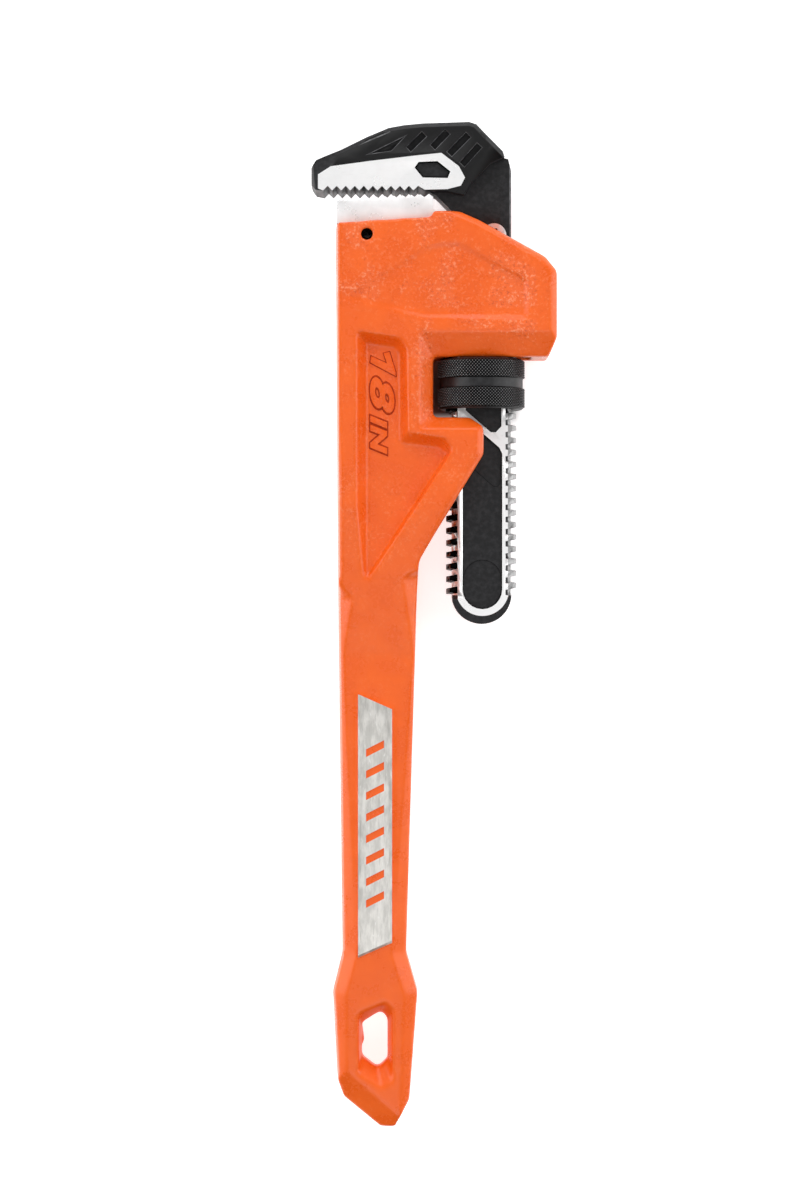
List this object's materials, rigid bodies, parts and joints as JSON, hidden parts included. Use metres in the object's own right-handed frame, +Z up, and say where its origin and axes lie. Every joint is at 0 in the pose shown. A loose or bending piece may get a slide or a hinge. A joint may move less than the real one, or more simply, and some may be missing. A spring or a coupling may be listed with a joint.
{
  "type": "pipe wrench",
  "caption": "Heavy adjustable pipe wrench with a cast handle and head, a toothed hook jaw on a threaded shank, a knurled adjusting nut and a renewable heel jaw.",
  "frame": {"origin": "under the middle of the bounding box, with the wrench lying on its side", "axes": "+Y along the handle towards the jaws, +X towards the back of the head, +Z up through the wrench's thickness"},
  "size_m": [0.0968, 0.3974, 0.035],
  "materials": {
    "orange_paint": "enamel over a sand-cast surface",
    "ground_steel": "ground bright",
    "dark_steel": "blackened",
    "black_steel": "black phosphate, satin",
    "spring_steel": "plain spring temper"
  },
  "bodies": {
    "handle": {"handle": "orange_paint", "heel_jaw": "ground_steel", "heel_jaw_pin": "dark_steel", "coil_spring": "spring_steel"},
    "spring_shoe": {"flat_spring": "spring_steel", "spring_rivet": "spring_steel"},
    "nut": {"adjusting_nut": "black_steel"},
    "hook_jaw": {"hook_jaw": "black_steel"}
  },
  "joints": [
    {"name": "jaw_rock", "type": "hinge", "parent": "handle", "child": "spring_shoe", "pos_m": [0.0019, 0.10595, 0.0175], "axis": [0, 0, 1], "range_deg": [-3, 0], "stiffness_Nm_per_rad": 20, "springref_deg": 2.86, "deforming": ["coil_spring"]},
    {"name": "nut_spin", "type": "hinge", "parent": "spring_shoe", "child": "nut", "pos_m": [0.0189, 0.09595, 0.0175], "axis": [0, -1, 0], "range_deg": [-45, 4500]},
    {"name": "jaw_slide", "type": "slide", "parent": "spring_shoe", "child": "hook_jaw", "axis": [0, 1, 0], "range_m": [-0.0006, 0.06]}
  ],
  "couplings": [
    {"joint": "nut_spin", "follows": "jaw_slide", "rad_per_m": 1309}
  ]
}
